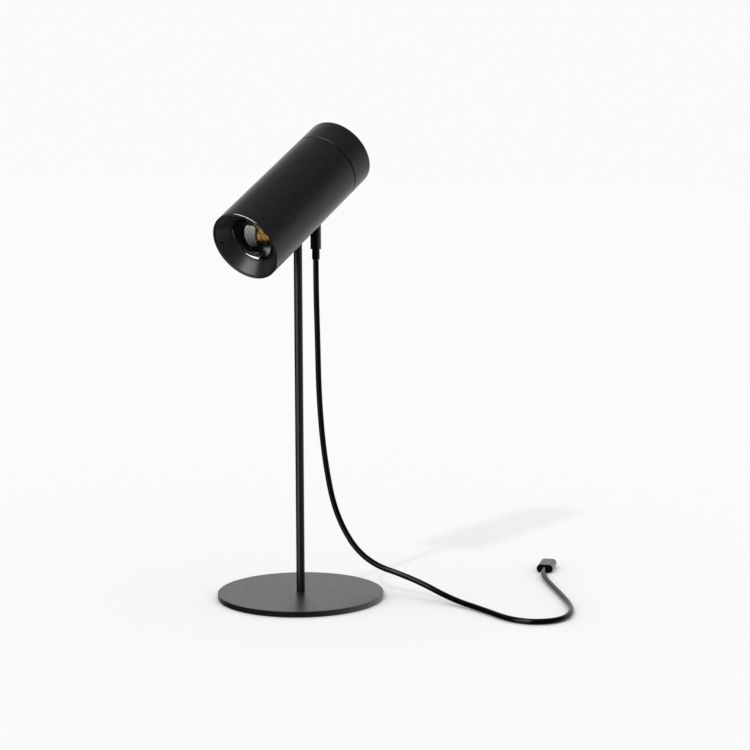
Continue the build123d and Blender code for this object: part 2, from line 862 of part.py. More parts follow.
fixed_pieces = {
    "base_plate": base_plate,
    "base_pad": base_pad,
    "stem_screw": stem_screw,
    "stem": stem,
    "hinge_block": hinge_block,
    "stem_grub_screws": stem_grub_screws,
    "friction_washers": friction_washers,
    "cable_socket": cable_socket,
    "socket_nut": socket_nut,
    "strain_relief": strain_relief,
    "supply_lead": supply_lead,
    "cord": cord,
    "plug_overmould": plug_overmould,
    "plug_shell": plug_shell,
    "plug_insert": plug_insert,
}
head_pieces = {
    "head_tube": head_tube,
    "tube_grub_screws": tube_grub_screws,
    "front_baffle": front_baffle,
    "lens_bezel": lens_bezel,
    "lens": lens,
    "lens_seal": lens_seal,
    "lens_holder": lens_holder,
    "led_board": led_board,
    "led_board_screws": led_board_screws,
    "led_package": led_package,
    "led_phosphor": led_phosphor,
    "heat_sink": heat_sink,
    "led_lead": led_lead,
    "hinge_yoke": hinge_yoke,
    "yoke_screws": yoke_screws,
    "pivot_screw": pivot_screw,
    "spring_washer": spring_washer,
    "pivot_nut": pivot_nut,
    "rear_bulkhead": rear_bulkhead,
    "tie_rods": tie_rods,
    "tie_screws": tie_screws,
    "driver_board": driver_board,
    "driver_components": driver_components,
    "potentiometer": potentiometer,
    "potentiometer_nut": potentiometer_nut,
    "bearing_ring": bearing_ring,
    "dimmer_cap": dimmer_cap,
    "dimmer_shaft": dimmer_shaft,
    "cap_grub_screw": cap_grub_screw,
}


def as_shape(made):
    """One shape from a solid or a list of like solids."""
    if not isinstance(made, list):
        return made
    return Compound(children=[solid for piece in made for solid in piece.solids()])


os.makedirs("parts", exist_ok=True)
for name, make in fixed_pieces.items():
    export_step(as_shape(make()), f"parts/{name}.step")
for name, make in head_pieces.items():
    export_step(in_head(as_shape(make())), f"parts/{name}.step")
print("wrote", len(fixed_pieces) + len(head_pieces), "pieces")
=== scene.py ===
import bpy
import bmesh
import math
from mathutils import Matrix, Vector


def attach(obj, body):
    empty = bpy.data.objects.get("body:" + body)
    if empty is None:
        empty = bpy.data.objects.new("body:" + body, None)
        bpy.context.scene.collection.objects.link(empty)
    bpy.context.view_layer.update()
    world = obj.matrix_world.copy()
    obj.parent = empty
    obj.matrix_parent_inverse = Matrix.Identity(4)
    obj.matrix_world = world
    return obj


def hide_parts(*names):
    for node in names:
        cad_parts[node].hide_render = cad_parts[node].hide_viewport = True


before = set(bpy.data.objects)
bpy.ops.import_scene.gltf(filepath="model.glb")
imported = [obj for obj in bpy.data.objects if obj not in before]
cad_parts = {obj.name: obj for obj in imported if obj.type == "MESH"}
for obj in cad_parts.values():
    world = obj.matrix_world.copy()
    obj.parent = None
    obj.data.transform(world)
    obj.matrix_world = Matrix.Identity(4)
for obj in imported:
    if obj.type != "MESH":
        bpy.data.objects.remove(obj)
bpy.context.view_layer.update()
mm = 0.001
print("frame loaded:", len(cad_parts), "nodes")

cameraSettings = {
    "location": (0.8798, -1.1319, 0.3572),  # m, as is the clip
    "rotation": (82.248, 0.198, 35.657),  # degrees
    "lens": 97.16,  # mm, as is the sensor
    "sensor": 36,
    "clip": (0.05, 60),
}


def makeCamera(settings):
    data = bpy.data.cameras.new("camera")
    data.lens = settings["lens"]
    data.sensor_width = settings["sensor"]
    data.clip_start, data.clip_end = settings["clip"]
    camera = bpy.data.objects.new("camera", data)
    camera.location = settings["location"]
    camera.rotation_euler = [math.radians(angle) for angle in settings["rotation"]]
    bpy.context.collection.objects.link(camera)
    bpy.context.scene.camera = camera


makeCamera(cameraSettings)
print("camera placed")

cordSettings = {
    "diameter": 4.2,  # mm, as are the points
    "runSteps": 12,
    "bevelSteps": 6,
    "route": [
        (0.0, 21.0, 243.5),
        (0.0, 21.0, 221.6),
        (0.6, 21.5, 187.9),
        (1.1, 22.1, 142.1),
        (1.6, 27.4, 97.8),
        (7.6, 32.9, 54.5),
        (29.3, 37.4, 23.2),
        (66.6, 47.8, 13.2),
        (102.2, 44.1, 3.7),
        (135.1, 36.4, 2.1),
        (160.9, 25.4, 2.1),
        (179.2, 27.4, 2.1),
        (191.0, 40.7, 2.1),
        (190.7, 58.5, 2.1),
        (180.2, 79.2, 2.1),
        (154.9, 107.0, 2.1),
        (125.3, 137.0, 2.1),
        (111.4, 153.2, 3.25),
        (106.5, 165.0, 3.25),
    ],
}


def makeCord(settings):
    curve = bpy.data.curves.new("cord_run", "CURVE")
    curve.dimensions = "3D"
    spline = curve.splines.new("NURBS")
    spline.points.add(len(settings["route"]) - 1)
    for point, place in zip(spline.points, settings["route"]):
        point.co = (*(value * mm for value in place), 1)
        point.radius = settings["diameter"] / 2 * mm  # on the points, which keeps the curve's bounds true
    spline.order_u = 3
    spline.use_endpoint_u = True
    spline.resolution_u = settings["runSteps"]
    curve.bevel_depth = 1.0
    curve.bevel_resolution = settings["bevelSteps"]
    curve.use_fill_caps = True
    cord = bpy.data.objects.new("cord_run", curve)
    bpy.context.collection.objects.link(cord)
    return cord, spline.calc_length()


cord, cordLength = makeCord(cordSettings)
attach(cord, "base")
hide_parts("cord")
print("cord", round(cordLength, 4), "m")

noiseReach = (0.3, 0.7)  # where nearly all of a noise texture's values lie


def setInput(node, key, value):
    socket = node.inputs[key]
    if isinstance(value, bpy.types.NodeSocket):
        node.id_data.links.new(value, socket)
    elif hasattr(socket.default_value, "__len__") and len(socket.default_value) == 4 and len(value) == 3:
        socket.default_value = (*value, 1)
    else:
        socket.default_value = value


def addNode(tree, kind, settings=None, **inputs):
    node = tree.nodes.new("ShaderNode" + kind)
    for name, value in (settings or {}).items():
        setattr(node, name, value)
    for name, value in inputs.items():
        setInput(node, name.replace("_", " "), value)
    return node


def addMath(tree, operation, *values):
    node = addNode(tree, "Math", {"operation": operation})
    for index, value in enumerate(values):
        setInput(node, index, value)
    return node.outputs[0]


def startMaterial(name, **surface):
    # a material with one principled shader, and its plain values set on it
    material = bpy.data.materials.new(name)
    material.use_nodes = True
    shader = material.node_tree.nodes["Principled BSDF"]
    for key, value in surface.items():
        setInput(shader, key.replace("_", " "), value)
    return material, material.node_tree, shader


def startEven(name, look):
    # the same gloss all over
    return startMaterial(name, Roughness=look["roughness"], Specular_IOR_Level=look["level"])


def objectCoordinates(tree):
    return addNode(tree, "TexCoord").outputs["Object"]


def grain(tree, size, detail=3.0, roughness=0.55):
    # noise whose lumps are about that many metres across
    noise = addNode(tree, "TexNoise", Scale=1 / size, Detail=detail, Roughness=roughness)
    tree.links.new(objectCoordinates(tree), noise.inputs["Vector"])
    return noise.outputs["Fac"]


def spread(tree, factor, low, high, reach=noiseReach):
    # from low to high, as the factor goes from one end of its reach to the other
    node = addNode(tree, "MapRange", From_Min=reach[0], From_Max=reach[1], To_Min=low, To_Max=high)
    tree.links.new(factor, node.inputs["Value"])
    return node.outputs["Result"]


def tint(tree, factor, dark, light):
    node = addNode(tree, "ValToRGB")
    for element, position, colour in zip(node.color_ramp.elements, noiseReach, (dark, light)):
        element.position = position
        element.color = (*colour, 1)
    tree.links.new(factor, node.inputs["Fac"])
    return node.outputs["Color"]


def mixColour(tree, share, first, second):
    # from the first colour, a socket, to the second, three plain values
    mix = addNode(tree, "Mix", {"data_type": "RGBA"})
    start, end, result = mix.inputs[6], mix.inputs[7], mix.outputs[2]  # the node's sockets for colours
    tree.links.new(share, mix.inputs["Factor"])
    tree.links.new(first, start)
    end.default_value = (*second, 1)
    return result


def addBump(tree, shader, height, depth):
    bump = addNode(tree, "Bump", Strength=1.0, Distance=depth)
    tree.links.new(height, bump.inputs["Height"])
    tree.links.new(bump.outputs["Normal"], shader.inputs["Normal"])


headTilt = math.radians(29.35)
pivotHeight = 277 * mm
axisAbovePivot = 12 * mm


def headMatrix():
    # from the head's own space, z forward and y up about its axis, to the lamp's
    turn = Matrix.Rotation(headTilt, 4, "X")
    level = Matrix(((1, 0, 0, 0), (0, 0, -1, 0), (0, 1, 0, axisAbovePivot), (0, 0, 0, 1)))
    return Matrix.Translation((0, 0, pivotHeight)) @ turn @ level


def headVector(tree):
    # place in the head's own space, in metres: x right, y up, z forward
    back = headMatrix().inverted()
    mapping = addNode(tree, "Mapping", Location=back.to_translation(), Rotation=back.to_euler())
    tree.links.new(objectCoordinates(tree), mapping.inputs["Vector"])
    return mapping.outputs["Vector"]


def headPlace(tree):
    # the same place as three numbers
    parts = addNode(tree, "SeparateXYZ")
    tree.links.new(headVector(tree), parts.inputs["Vector"])
    return parts.outputs


def headCoordinates(tree):
    # radius from the head's axis and distance along it, in metres
    x, y, along = headPlace(tree)
    square = addMath(tree, "ADD", addMath(tree, "MULTIPLY", x, x), addMath(tree, "MULTIPLY", y, y))
    return addMath(tree, "SQRT", square), along


def turningMarks(tree, pitch):
    # fine uneven rings, as a lathe leaves
    radius, along = headCoordinates(tree)
    reach = addMath(tree, "ADD", radius, along)
    noise = addNode(tree, "TexNoise", {"noise_dimensions": "1D"}, Detail=2.0)
    tree.links.new(addMath(tree, "DIVIDE", reach, pitch), noise.inputs["W"])
    return noise.outputs["Fac"]


def headRadial(tree):
    # direction away from the head's axis, which is across the turning marks
    flat = addNode(tree, "VectorMath", {"operation": "MULTIPLY"})
    tree.links.new(headVector(tree), flat.inputs[0])
    flat.inputs[1].default_value = (1, 1, 0)
    turned = addNode(tree, "VectorRotate", {"rotation_type": "EULER_XYZ"}, Rotation=headMatrix().to_euler())
    tree.links.new(flat.outputs["Vector"], turned.inputs["Vector"])
    toWorld = {"vector_type": "VECTOR", "convert_from": "OBJECT", "convert_to": "WORLD"}
    world = addNode(tree, "VectorTransform", toWorld)
    tree.links.new(turned.outputs["Vector"], world.inputs["Vector"])
    return world.outputs["Vector"]


def addPiece(name, mesh, material, body):
    mesh.materials.append(material)
    piece = bpy.data.objects.new(name, mesh)
    bpy.context.collection.objects.link(piece)
    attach(piece, body)
    return piece


powderCoat = {
    "dark": (0.0065, 0.0065, 0.007),
    "light": (0.009, 0.009, 0.0095),
    "roughness": (0.27, 0.33),
    "level": 0.25,
    "grain": 0.35 * mm,
    "grainDepth": 0.006 * mm,
    "flow": 5 * mm,
}
baseCoat = {**powderCoat, "roughness": (0.35, 0.41), "level": 0.78, "grain": 0.45 * mm}
cutEdge = {
    "start": 60.61 * mm,  # forward of the pivot
    "radius": 26.21 * mm,
    "colour": (0.26, 0.26, 0.265),
    "roughness": 0.14,
}


def cutEdgeShare(tree, look):
    # 1 on the thin chamfer round the front edge, and 0 elsewhere
    radius, along = headCoordinates(tree)
    forward = addMath(tree, "GREATER_THAN", along, look["start"])
    outside = addMath(tree, "GREATER_THAN", radius, look["radius"])
    return addMath(tree, "MULTIPLY", forward, outside)


def makePowderCoat(name, look, cut=None):
    material, tree, shader = startMaterial(name, Specular_IOR_Level=look["level"])
    flow = grain(tree, look["flow"])
    colour = tint(tree, flow, look["dark"], look["light"])
    roughness = spread(tree, flow, *look["roughness"])
    if cut:  # the chamfer is burnished, so it catches the light
        share = cutEdgeShare(tree, cut)
        colour = mixColour(tree, share, colour, cut["colour"])
        roughness = spread(tree, share, roughness, cut["roughness"], (0, 1))
        tree.links.new(share, shader.inputs["Metallic"])
    tree.links.new(colour, shader.inputs["Base Color"])
    tree.links.new(roughness, shader.inputs["Roughness"])
    addBump(tree, shader, grain(tree, look["grain"], detail=4.0), look["grainDepth"])
    return material


anodised = {
    "dark": (0.011, 0.011, 0.0115),
    "light": (0.016, 0.016, 0.0165),
    "clouds": 3 * mm,
    "roughness": (0.32, 0.4),
    "level": 0.36,
    "streak": 0.66,  # how far the turning marks draw a reflection out across them
    "ring": 0.22 * mm,
    "ringDepth": 0.0012 * mm,
}
polished = {
    "dark": (0.22, 0.22, 0.224),
    "light": (0.29, 0.29, 0.294),
    "clouds": 2 * mm,
    "roughness": (0.05, 0.09),
    "ring": 0.3 * mm,
    "ringDepth": 0.0006 * mm,
}


def addTurning(tree, shader, look):
    # colour goes by soft clouds, and gloss and relief by the turning marks
    clouds = grain(tree, look["clouds"])
    rings = turningMarks(tree, look["ring"])
    tree.links.new(tint(tree, clouds, look["dark"], look["light"]), shader.inputs["Base Color"])
    tree.links.new(spread(tree, rings, *look["roughness"]), shader.inputs["Roughness"])
    addBump(tree, shader, rings, look["ringDepth"])


def makeAnodised(name, look):
    material, tree, shader = startMaterial(name, Specular_IOR_Level=look["level"], Anisotropic=look["streak"])
    tree.links.new(headRadial(tree), shader.inputs["Tangent"])
    addTurning(tree, shader, look)
    return material


def makePolished(name, look):
    # turned and buffed before it was blackened, so it is darker than bare metal but as glossy
    material, tree, shader = startMaterial(name, Metallic=1.0)
    addTurning(tree, shader, look)
    return material


blasted = {
    "dark": (0.5, 0.5, 0.51),
    "light": (0.64, 0.64, 0.65),
    "roughness": (0.34, 0.5),
    "grain": 0.3 * mm,
    "grainDepth": 0.01 * mm,
}
zincPlate = {
    "dark": (0.5, 0.52, 0.56),
    "light": (0.66, 0.66, 0.68),
    "roughness": (0.2, 0.38),
    "grain": 0.5 * mm,
    "grainDepth": 0.003 * mm,
}
nickelPlate = {
    "dark": (0.62, 0.61, 0.58),
    "light": (0.74, 0.73, 0.7),
    "roughness": (0.1, 0.2),
    "grain": 0.8 * mm,
    "grainDepth": 0.0015 * mm,
}
cutBrass = {
    "dark": (0.6, 0.42, 0.18),
    "light": (0.75, 0.56, 0.27),
    "roughness": (0.2, 0.34),
    "grain": 0.4 * mm,
    "grainDepth": 0.003 * mm,
}
goldPlate = {
    "dark": (0.85, 0.6, 0.25),
    "light": (0.95, 0.72, 0.34),
    "roughness": (0.15, 0.25),
    "grain": 0.3 * mm,
    "grainDepth": 0.001 * mm,
}
blackOxide = {
    "dark": (0.015, 0.015, 0.017),
    "light": (0.04, 0.04, 0.044),
    "roughness": (0.3, 0.45),
    "grain": 0.3 * mm,
    "grainDepth": 0.004 * mm,
}
mouldedBlack = {
    "dark": (0.002, 0.002, 0.0022),
    "light": (0.004, 0.004, 0.0042),
    "roughness": (0.5, 0.62),
    "level": 0.15,
    "grain": 0.18 * mm,
    "grainDepth": 0.008 * mm,
}
plugPlastic = {
    "dark": (0.003, 0.003, 0.0032),
    "light": (0.006, 0.006, 0.0063),
    "roughness": (0.24, 0.32),
    "level": 0.4,
    "grain": 0.22 * mm,
    "grainDepth": 0.012 * mm,
}
socketBlack = {
    "dark": (0.0012, 0.0012, 0.0013),
    "light": (0.0025, 0.0025, 0.0027),
    "roughness": (0.15, 0.22),
    "level": 0.5,
    "grain": 0.4 * mm,
    "grainDepth": 0.001 * mm,
}
reliefRubber = {
    "dark": (0.0016, 0.0016, 0.0018),
    "light": (0.0032, 0.0032, 0.0034),
    "roughness": (0.34, 0.42),
    "level": 0.2,
    "grain": 0.3 * mm,
    "grainDepth": 0.004 * mm,
}
footRubber = {
    "dark": (0.02, 0.02, 0.021),
    "light": (0.034, 0.034, 0.035),
    "roughness": (0.7, 0.85),
    "level": 0.3,
    "grain": 0.5 * mm,
    "grainDepth": 0.03 * mm,
}
cordJacket = {
    "dark": (0.0012, 0.0012, 0.0014),
    "light": (0.0026, 0.0026, 0.0028),
    "roughness": (0.12, 0.18),
    "level": 0.1,
    "grain": 1.2 * mm,
    "grainDepth": 0.006 * mm,
}
acetal = {
    "dark": (0.68, 0.67, 0.63),
    "light": (0.78, 0.77, 0.73),
    "roughness": (0.35, 0.45),
    "level": 0.5,
    "grain": 0.4 * mm,
    "grainDepth": 0.003 * mm,
}
ceramic = {
    "dark": (0.006, 0.005, 0.004),
    "light": (0.012, 0.01, 0.008),
    "roughness": (0.4, 0.5),
    "level": 0.1,
    "grain": 0.1 * mm,
    "grainDepth": 0.001 * mm,
}
metalClouds = 6  # times as wide as the grain
plasticClouds = 12


def makeGrained(name, look, cloudWidth, **surface):
    # relief goes by the grain, and colour and gloss by wider clouds
    material, tree, shader = startMaterial(name, **surface)
    clouds = grain(tree, cloudWidth * look["grain"])
    tree.links.new(tint(tree, clouds, look["dark"], look["light"]), shader.inputs["Base Color"])
    tree.links.new(spread(tree, clouds, *look["roughness"]), shader.inputs["Roughness"])
    addBump(tree, shader, grain(tree, look["grain"]), look["grainDepth"])
    return material


def makeMetal(name, look):
    return makeGrained(name, look, metalClouds, Metallic=1.0)


def makePlastic(name, look):
    return makeGrained(name, look, plasticClouds, Specular_IOR_Level=look["level"])


circuitBoard = {
    "mask": (0.015, 0.13, 0.05),
    "track": (0.03, 0.2, 0.08),
    "roughness": 0.35,
    "level": 0.5,
    "pitch": 1.3 * mm,
    "trackSide": (0.42, 0.46),  # shares of the pitch between which a track's side climbs
    "trackHeight": 0.03 * mm,
}
lightBoard = {
    **circuitBoard,
    "mask": (0.0006, 0.0006, 0.0006),
    "track": (0.002, 0.002, 0.002),
    "level": 0.03,
    "pitch": 2.2 * mm,
}


def makeBoard(name, look):
    # solder mask over copper tracks that show as slightly raised, lighter bands
    material, tree, shader = startEven(name, look)
    blocks = addNode(tree, "TexVoronoi", {"distance": "MANHATTAN", "feature": "F1"}, Scale=1 / look["pitch"])
    tree.links.new(objectCoordinates(tree), blocks.inputs["Vector"])
    tracks = spread(tree, blocks.outputs["Distance"], 0, 1, look["trackSide"])
    tree.links.new(tint(tree, tracks, look["mask"], look["track"]), shader.inputs["Base Color"])
    addBump(tree, shader, tracks, look["trackHeight"])
    return material


clearLens = {
    "colour": (0.98, 0.985, 0.98),
    "ior": 1.56,
    "roughness": (0.012, 0.024),
    "haze": 0.6 * mm,
}


def makeGlass(name, look):
    # a faint uneven haze is all that dulls it
    material, tree, shader = startMaterial(
        name, Transmission_Weight=1.0, IOR=look["ior"], Base_Color=look["colour"]
    )
    film = grain(tree, look["haze"], detail=5.0)
    tree.links.new(spread(tree, film, *look["roughness"]), shader.inputs["Roughness"])
    return material


phosphor = {
    "deep": (0.37, 0.18, 0.055),
    "pale": (0.6, 0.41, 0.085),
    "gap": (0.25, 0.13, 0.022),
    "surround": (0.012, 0.007, 0.003),
    "roughness": 0.5,
    "level": 0.1,
    "pitch": 2.35 * mm,
    "chipSide": (0.18, 0.372),  # shares of the pitch from a chip's middle, where it fades into the gap
    "rowShare": 0.62,  # how far the gaps between rows show, against those between columns
    "edge": (4.4 * mm, 5.5 * mm),  # where the gel thins out toward the dam round it
    "drawn": 0.48,  # where the gel darkens into the dark surround
    "grain": 2.2 * mm,
}


def makePhosphor(name, look):
    # rows and columns of chips under a thin amber gel, with the darker gaps between them
    material, tree, shader = startEven(name, look)
    sides, reaches = [], []
    for along in headPlace(tree)[:2]:
        reaches.append(addMath(tree, "ABSOLUTE", along))
        share = addMath(tree, "FRACT", addMath(tree, "DIVIDE", along, look["pitch"]))
        sides.append(addMath(tree, "ABSOLUTE", addMath(tree, "SUBTRACT", share, 0.5)))
    side = addMath(tree, "MAXIMUM", sides[0], addMath(tree, "MULTIPLY", sides[1], look["rowShare"]))
    gap = spread(tree, side, 0, 1, look["chipSide"])
    gel = tint(tree, grain(tree, look["grain"], detail=4.0), look["deep"], look["pale"])
    chips = mixColour(tree, gap, gel, look["gap"])
    inward = addMath(tree, "SUBTRACT", look["edge"][1], reaches[1])
    drawn = addMath(tree, "MULTIPLY", inward, look["drawn"])
    reach = addMath(tree, "MAXIMUM", addMath(tree, "ADD", reaches[0], drawn), reaches[1])
    rim = spread(tree, reach, 0, 1, look["edge"])
    tree.links.new(mixColour(tree, rim, chips, look["surround"]), shader.inputs["Base Color"])
    return material


coat = makePowderCoat("satin_black_powder_coat", powderCoat)
tubeCoat = makePowderCoat("head_tube_coat", powderCoat, cutEdge)
footCoat = makePowderCoat("base_coat", baseCoat)
blackAnodised = makeAnodised("black_anodised", anodised)
blackPolished = makePolished("black_polished", polished)
rawAluminium = makeMetal("bead_blasted_aluminium", blasted)
zinc = makeMetal("zinc_plated_steel", zincPlate)
nickel = makeMetal("bright_nickel", nickelPlate)
brass = makeMetal("cut_brass", cutBrass)
gold = makeMetal("gold_plate", goldPlate)
oxide = makeMetal("black_oxide_steel", blackOxide)
holderPlastic = makePlastic("black_moulded_plastic", mouldedBlack)
overmouldPlastic = makePlastic("plug_overmould_plastic", plugPlastic)
sleeveRubber = makePlastic("strain_relief_rubber", reliefRubber)
glossBlack = makePlastic("socket_gloss_black", socketBlack)
padRubber = makePlastic("foot_pad_rubber", footRubber)
jacket = makePlastic("cord_jacket", cordJacket)
whiteAcetal = makePlastic("natural_acetal", acetal)
darkCeramic = makePlastic("dark_ceramic", ceramic)
greenBoard = makeBoard("green_circuit_board", circuitBoard)
blackBoard = makeBoard("black_light_board", lightBoard)
glass = makeGlass("clear_lens", clearLens)
amber = makePhosphor("amber_phosphor", phosphor)

finishes = {
    coat: ("stem", "dimmer_cap"),
    tubeCoat: ("head_tube",),
    footCoat: ("base_plate",),
    blackAnodised: ("front_baffle", "hinge_block"),
    glossBlack: ("cable_socket",),
    blackPolished: ("lens_bezel",),
    rawAluminium: ("heat_sink", "rear_bulkhead"),
    zinc: (
        "stem_screw", "led_board_screws", "hinge_yoke", "pivot_screw", "spring_washer", "pivot_nut",
        "dimmer_shaft",
    ),
    nickel: ("plug_shell", "potentiometer"),
    brass: ("socket_nut", "tie_rods", "potentiometer_nut"),
    oxide: ("stem_grub_screws", "tube_grub_screws", "yoke_screws", "tie_screws", "cap_grub_screw"),
    holderPlastic: ("lens_holder", "plug_insert", "driver_components"),
    overmouldPlastic: ("plug_overmould",),
    sleeveRubber: ("strain_relief", "lens_seal"),
    padRubber: ("base_pad",),
    jacket: ("cord", "supply_lead", "led_lead"),
    whiteAcetal: ("friction_washers", "bearing_ring"),
    darkCeramic: ("led_package",),
    greenBoard: ("driver_board",),
    blackBoard: ("led_board",),
    glass: ("lens",),
    amber: ("led_phosphor",),
}


def finishNodes(plan):
    for material, names in plan.items():
        for name in names:
            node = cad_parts[name]
            node.data.materials.clear()
            node.data.materials.append(material)


finishNodes(finishes)
cord.data.materials.append(jacket)
print("materials on", sum(len(names) for names in finishes.values()), "nodes")

lensDome = {
    "radius": 17.5,  # mm, as are the rest
    "centre": 42.0,  # forward of the pivot, along the head
    "back": 39.15,
    "skirt": 17.62,
    "steps": 40,
    "turns": 144,
    "sharp": 30,  # degrees, above which an edge isn't smoothed
}


def turnedMesh(name, outline, turns, sharp):
    # solid of revolution about the head's axis from (forward, radius) points in mm
    mesh = bpy.data.meshes.new(name)
    shape = bmesh.new()
    angles = [2 * math.pi * turn / turns for turn in range(turns)]
    rings = []
    for forward, radius in outline:
        rings.append([
            shape.verts.new((radius * mm * math.cos(angle), radius * mm * math.sin(angle), forward * mm))
            for angle in (angles if radius else angles[:1])
        ])
    for ring, following in zip(rings, rings[1:]):
        for turn in range(turns):
            after = (turn + 1) % turns
            if len(ring) == 1:
                shape.faces.new((ring[0], following[after], following[turn]))
            elif len(following) == 1:
                shape.faces.new((ring[turn], ring[after], following[0]))
            else:
                shape.faces.new((ring[turn], ring[after], following[after], following[turn]))
    bmesh.ops.recalc_face_normals(shape, faces=shape.faces)
    shape.transform(headMatrix())
    shape.to_mesh(mesh)
    shape.free()
    for face in mesh.polygons:
        face.use_smooth = True
    mesh.set_sharp_from_angle(angle=math.radians(sharp))
    return mesh


def makeLens(sizes):
    # one clear block down to the board, so that the light source sits inside it without a gap
    radius, centre, steps = sizes["radius"], sizes["centre"], sizes["steps"]
    outline = [(sizes["back"], 0), (sizes["back"], sizes["skirt"]), (centre, sizes["skirt"])]
    for step in range(steps):
        angle = 0.5 * math.pi * step / steps
        outline.append((centre + radius * math.sin(angle), radius * math.cos(angle)))
    outline.append((centre + radius, 0))
    mesh = turnedMesh("lens_dome", outline, sizes["turns"], sizes["sharp"])
    lens = addPiece("lens_dome", mesh, glass, "head")
    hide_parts("lens")


makeLens(lensDome)
print("lens made")

# solder colour, with a painted highlight in the middle of each lump
solderPaintedHighlight = {
    "dark": (0.012, 0.012, 0.012),
    "light": (0.38, 0.375, 0.365),
    "roughness": 0.55,
    "level": 0.2,
    "reach": (1.7, 1.3),  # mm to each side of its middle, where the painted highlight has faded to black
    "ragged": 0.25,  # share of that reach by which the grain moves it
    "fade": (0.2, 1.1),  # shares of it between which the painted highlight in the middle darkens
    "grain": 0.7 * mm,
}


def makeSolder(name, middle, look):
    # a matching pair of flat lumps, with a painted highlight in their middle that darkens toward the edges
    material, tree, shader = startEven(name, look)
    squares = []
    for along, centre, reach in zip(headPlace(tree)[:2], middle, look["reach"]):
        off = addMath(tree, "SUBTRACT", addMath(tree, "ABSOLUTE", along), abs(centre) * mm)
        share = addMath(tree, "DIVIDE", off, reach * mm)
        squares.append(addMath(tree, "MULTIPLY", share, share))
    distance = addMath(tree, "SQRT", addMath(tree, "ADD", *squares))
    uneven = spread(tree, grain(tree, look["grain"]), -look["ragged"], look["ragged"])
    # painted highlight: pale in the middle of each lump and dark toward its edges
    pale = spread(tree, addMath(tree, "ADD", distance, uneven), *reversed(noiseReach), look["fade"])
    tree.links.new(tint(tree, pale, look["dark"], look["light"]), shader.inputs["Base Color"])
    return material


solderPads = {
    "places": [(-2.2, -9.2), (2.2, -9.2)],  # mm right and up from the head's axis
    "size": (4.4, 3.2),
    "board": 39.2,  # forward of the pivot
    "height": 0.12,
    "softened": 0.6,  # share of the height that its top edge takes
    "corner": 0.4,
    "cornerSteps": 4,
}


def addPad(shape, middle, sizes):
    # flat slab with rounded corners and a softened top edge
    soft = sizes["softened"] * sizes["height"]
    bottom = sizes["board"]
    matrix = headMatrix()
    rows = []
    for inset, level in ((0, bottom), (0, bottom + soft), (soft, bottom + sizes["height"])):
        row = []
        for quarter in range(4):
            turnX = 1 if quarter in (0, 3) else -1
            turnY = 1 if quarter in (0, 1) else -1
            cornerX = middle[0] + turnX * (sizes["size"][0] / 2 - sizes["corner"])
            cornerY = middle[1] + turnY * (sizes["size"][1] / 2 - sizes["corner"])
            for step in range(sizes["cornerSteps"] + 1):
                angle = 0.5 * math.pi * (quarter + step / sizes["cornerSteps"])
                reach = sizes["corner"] - inset
                place = Vector((cornerX + reach * math.cos(angle), cornerY + reach * math.sin(angle), level))
                row.append(shape.verts.new(matrix @ (place * mm)))
        rows.append(row)
    for low, high in zip(rows, rows[1:]):
        for index in range(len(low)):
            after = (index + 1) % len(low)
            shape.faces.new((low[index], low[after], high[after], high[index]))
    shape.faces.new(rows[-1])
    shape.faces.new(list(reversed(rows[0])))


def makeSolderPads(sizes):
    shape = bmesh.new()
    for place in sizes["places"]:
        addPad(shape, place, sizes)
    mesh = bpy.data.meshes.new("solder_pads")
    shape.to_mesh(mesh)
    shape.free()
    addPiece("solder_pads", mesh, makeSolder("solder_with_painted_highlight", sizes["places"][0], solderPaintedHighlight), "head")


makeSolderPads(solderPads)

plugContacts = {
    "entry": cordSettings["route"][-1],  # mm, as are the rest
    "heading": 112.5,  # degrees
    "start": 23.4,
    "end": 27.3,
    "count": 12,
    "pitch": 0.5,
    "width": 0.28,
    "mouthHalf": 0.4,
    "thickness": 0.1,
    "sunk": 0.03,
    "lift": [(0, 0), (0.6, 0), (0.78, 0.12), (0.9, 0.12), (1, 0)],  # share of the length, and mm inward
}


def makeContacts(sizes):
    # two facing rows of gold contacts, each with a shallow hump near its tip
    turn = Matrix.Rotation(math.radians(sizes["heading"]), 4, "Z")
    matrix = Matrix.Translation(Vector(sizes["entry"]) * mm) @ turn
    length = sizes["end"] - sizes["start"]
    base = sizes["mouthHalf"] + sizes["sunk"]
    shape = bmesh.new()
    for row in (-1, 1):
        for index in range(sizes["count"]):
            middle = (index - (sizes["count"] - 1) / 2) * sizes["pitch"]
            left, right = middle - sizes["width"] / 2, middle + sizes["width"] / 2
            sections = []
            for share, lift in sizes["lift"]:
                along = sizes["start"] + length * share
                face = sizes["mouthHalf"] - sizes["thickness"] - lift
                rim = [(left, row * base), (right, row * base), (right, row * face), (left, row * face)]
                sections.append([shape.verts.new(matrix @ (Vector((along, y, z)) * mm)) for y, z in rim])
            for near, far in zip(sections, sections[1:]):
                for side in range(4):
                    after = (side + 1) % 4
                    shape.faces.new((near[side], near[after], far[after], far[side]))
            shape.faces.new(sections[0])
            shape.faces.new(list(reversed(sections[-1])))
    bmesh.ops.recalc_face_normals(shape, faces=shape.faces)
    mesh = bpy.data.meshes.new("plug_contacts")
    shape.to_mesh(mesh)
    shape.free()
    addPiece("plug_contacts", mesh, gold, "base")


makeContacts(plugContacts)
print("small pieces made")

studio = {
    "floorSize": 12.0,
    "floorColour": (0.943, 0.943, 0.943),
    "white": (0.96, 0.96, 0.96),
    "worldLevel": 0.929,
    "keyStrength": 0.42,
    "keyAngle": 3.0,  # degrees across
    "keyTravel": (-0.024, 1.024, -1.0),
    "keyDistance": 2,
}


